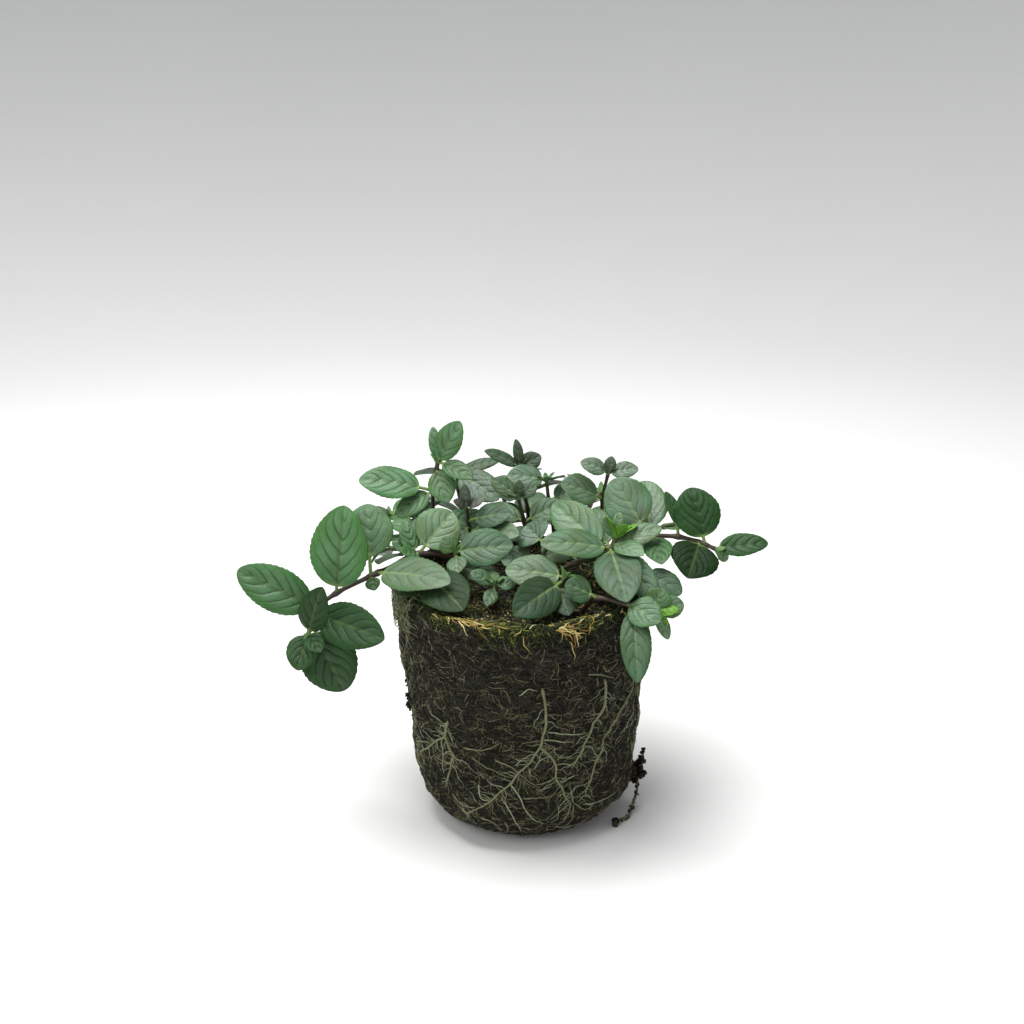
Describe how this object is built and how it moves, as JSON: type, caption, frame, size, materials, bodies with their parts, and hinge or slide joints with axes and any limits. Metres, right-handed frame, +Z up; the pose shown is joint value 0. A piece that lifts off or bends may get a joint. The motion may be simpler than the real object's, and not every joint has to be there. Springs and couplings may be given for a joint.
{
  "type": "mint plant with pot-shaped root ball",
  "caption": "Young mint plant taken out of its pot: low leafy stems with opposite toothed leaves on a tapered, root-bound ball of dark peat that stands on its flat foot.",
  "frame": {"origin": "middle of the root ball's flat foot", "axes": "+Z up along the ball, -Y towards the plant's front, +X to the right where the shorter runner reaches out"},
  "size_m": [0.2032, 0.1296, 0.1565],
  "materials": {
    "peat": "damp fibrous peat",
    "clump_leaf": "soft satin leaf",
    "runner_leaf": "satin leaf",
    "root": "matt living root",
    "crumbly_root": "root with peat crumbs"
  },
  "bodies": {
    "root": {"root_ball": "peat", "left_runner": "runner_leaf", "left_upright_shoot": "clump_leaf", "left_back_shoot": "clump_leaf", "purple_young_shoot": "clump_leaf", "centre_left_shoot": "clump_leaf", "centre_back_shoot": "clump_leaf", "back_shoot": "clump_leaf", "right_back_shoot": "clump_leaf", "rosette_shoot": "clump_leaf", "centre_shoot": "clump_leaf", "front_shoot": "clump_leaf", "front_right_shoot": "clump_leaf", "right_runner": "runner_leaf", "right_upright_shoot": "clump_leaf", "front_left_shoot": "clump_leaf", "rim_left_shoot": "clump_leaf", "rim_right_shoot": "clump_leaf", "back_right_runner": "runner_leaf", "back_low_shoot_1": "clump_leaf", "back_low_shoot_2": "clump_leaf", "back_left_runner": "runner_leaf", "left_low_shoot": "clump_leaf", "root_front_long": "root", "root_front_inner": "root", "root_front_outer": "root", "root_left": "root", "root_right": "root", "root_back_1": "root", "root_back_2": "root", "root_back_3": "root", "root_back_4": "root", "loose_root_strand": "crumbly_root"}
  },
  "joints": []
}
